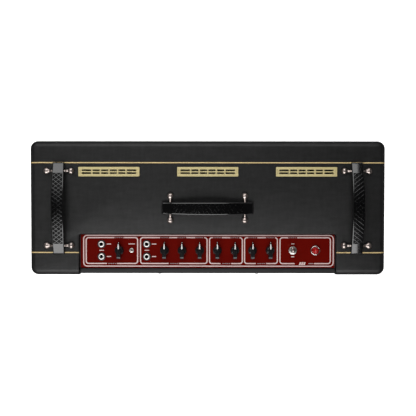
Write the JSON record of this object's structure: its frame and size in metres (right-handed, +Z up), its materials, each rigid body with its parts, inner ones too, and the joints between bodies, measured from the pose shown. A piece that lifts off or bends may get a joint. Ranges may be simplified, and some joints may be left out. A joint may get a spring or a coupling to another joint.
{
  "type": "guitar amplifier head",
  "caption": "Black vinyl-covered guitar amplifier head with top-mounted red control panel, pointer knobs, strap handles and gold piping.",
  "frame": {"origin": "on the floor under the middle of the cabinet", "axes": "+Z up; the grille faces -Y; the control panel and sockets are at +Y; +X is on the left of someone reading the panel"},
  "size_m": [0.7026, 0.265, 0.3],
  "materials": {
    "vinyl": "plywood covered in black woven-grain vinyl",
    "gold": "satin gold",
    "cloth": "open woven grille cloth",
    "plywood": "bare sanded plywood",
    "panel_red": "dark red lacquer with silver lines",
    "black_plastic": "moulded black",
    "rubber": "black, ribbed",
    "chrome": "polished",
    "red_glass": "faceted red jewel",
    "steel": "zinc plated",
    "black_steel": "black powder coat",
    "board_green": "green solder mask",
    "glass": "clear valve envelope",
    "iron": "varnished laminations"
  },
  "bodies": {
    "cabinet": {"cabinet_top": "vinyl", "cabinet_bottom": "vinyl", "cabinet_left_side": "vinyl", "cabinet_right_side": "vinyl", "front_rail": "vinyl", "upper_back_panel": "vinyl", "piping_front": "gold", "piping_rear": "gold", "top_vent_left": "gold", "top_vent_centre": "gold", "top_vent_right": "gold", "grille_cloth": "cloth", "front_baffle": "plywood", "control_panel": "panel_red", "input_jacks_channel_1": "black_plastic", "input_jacks_channel_2": "black_plastic", "rear_jacks": "black_plastic", "mains_inlet": "black_plastic", "foot_front_left": "rubber", "foot_front_right": "rubber", "foot_rear_left": "rubber", "foot_rear_right": "rubber", "handle_bracket_left_1": "chrome", "handle_bracket_left_2": "chrome", "handle_bracket_centre_1": "chrome", "handle_bracket_centre_2": "chrome", "handle_bracket_right_1": "chrome", "handle_bracket_right_2": "chrome", "power_switch_body": "chrome", "pilot_lamp_bezel": "chrome", "pilot_lamp_jewel": "red_glass", "control_chassis": "steel", "power_chassis": "steel", "reverb_tank": "steel", "rear_vent_grille": "black_steel", "rear_socket_plate": "black_steel", "control_board": "board_green", "main_board": "board_green", "output_valve_1": "glass", "output_valve_2": "glass", "output_valve_3": "glass", "output_valve_4": "glass", "preamp_valve_1": "glass", "preamp_valve_2": "glass", "preamp_valve_3": "glass", "mains_transformer": "iron", "output_transformer": "iron"},
    "knob_channel_1_volume_body": {"knob_channel_1_volume": "black_plastic"},
    "knob_channel_2_volume_body": {"knob_channel_2_volume": "black_plastic"},
    "knob_treble_body": {"knob_treble": "black_plastic"},
    "knob_bass_body": {"knob_bass": "black_plastic"},
    "knob_reverb_tone_body": {"knob_reverb_tone": "black_plastic"},
    "knob_reverb_level_body": {"knob_reverb_level": "black_plastic"},
    "knob_tone_cut_body": {"knob_tone_cut": "black_plastic"},
    "knob_master_volume_body": {"knob_master_volume": "black_plastic"},
    "bright_lever": {"bright_switch_lever": "chrome"},
    "power_lever": {"power_switch_lever": "chrome"},
    "strap_left": {"handle_strap_left": "rubber"},
    "strap_centre": {"handle_strap_centre": "rubber"},
    "strap_right": {"handle_strap_right": "rubber"}
  },
  "joints": [
    {"name": "channel_1_volume_turn", "type": "hinge", "parent": "cabinet", "child": "knob_channel_1_volume_body", "pos_m": [0.1754, 0.084, 0.2693], "axis": [0, 0, 1], "range_deg": [-150, 150]},
    {"name": "channel_2_volume_turn", "type": "hinge", "parent": "cabinet", "child": "knob_channel_2_volume_body", "pos_m": [0.0856, 0.084, 0.2693], "axis": [0, 0, 1], "range_deg": [-150, 150]},
    {"name": "treble_turn", "type": "hinge", "parent": "cabinet", "child": "knob_treble_body", "pos_m": [0.0507, 0.084, 0.2693], "axis": [0, 0, 1], "range_deg": [-150, 150]},
    {"name": "bass_turn", "type": "hinge", "parent": "cabinet", "child": "knob_bass_body", "pos_m": [0.0158, 0.084, 0.2693], "axis": [0, 0, 1], "range_deg": [-150, 150]},
    {"name": "reverb_tone_turn", "type": "hinge", "parent": "cabinet", "child": "knob_reverb_tone_body", "pos_m": [-0.0191, 0.084, 0.2693], "axis": [0, 0, 1], "range_deg": [-150, 150]},
    {"name": "reverb_level_turn", "type": "hinge", "parent": "cabinet", "child": "knob_reverb_level_body", "pos_m": [-0.054, 0.084, 0.2693], "axis": [0, 0, 1], "range_deg": [-150, 150]},
    {"name": "tone_cut_turn", "type": "hinge", "parent": "cabinet", "child": "knob_tone_cut_body", "pos_m": [-0.0889, 0.084, 0.2693], "axis": [0, 0, 1], "range_deg": [-150, 150]},
    {"name": "master_volume_turn", "type": "hinge", "parent": "cabinet", "child": "knob_master_volume_body", "pos_m": [-0.1238, 0.084, 0.2693], "axis": [0, 0, 1], "range_deg": [-150, 150]},
    {"name": "bright_toggle", "type": "hinge", "parent": "cabinet", "child": "bright_lever", "pos_m": [0.151, 0.084, 0.2724], "axis": [1, 0, 0], "range_deg": [-24, 0]},
    {"name": "power_toggle", "type": "hinge", "parent": "cabinet", "child": "power_lever", "pos_m": [-0.1689, 0.084, 0.2756], "axis": [0.8988, 0.4384, 0], "range_deg": [-52, 0]},
    {"name": "strap_left_lift", "type": "slide", "parent": "cabinet", "child": "strap_left", "axis": [0, 0, 1], "range_m": [0, 0.0012]},
    {"name": "strap_centre_lift", "type": "slide", "parent": "cabinet", "child": "strap_centre", "axis": [0, 0, 1], "range_m": [0, 0.0012]},
    {"name": "strap_right_lift", "type": "slide", "parent": "cabinet", "child": "strap_right", "axis": [0, 0, 1], "range_m": [0, 0.0012]}
  ]
}
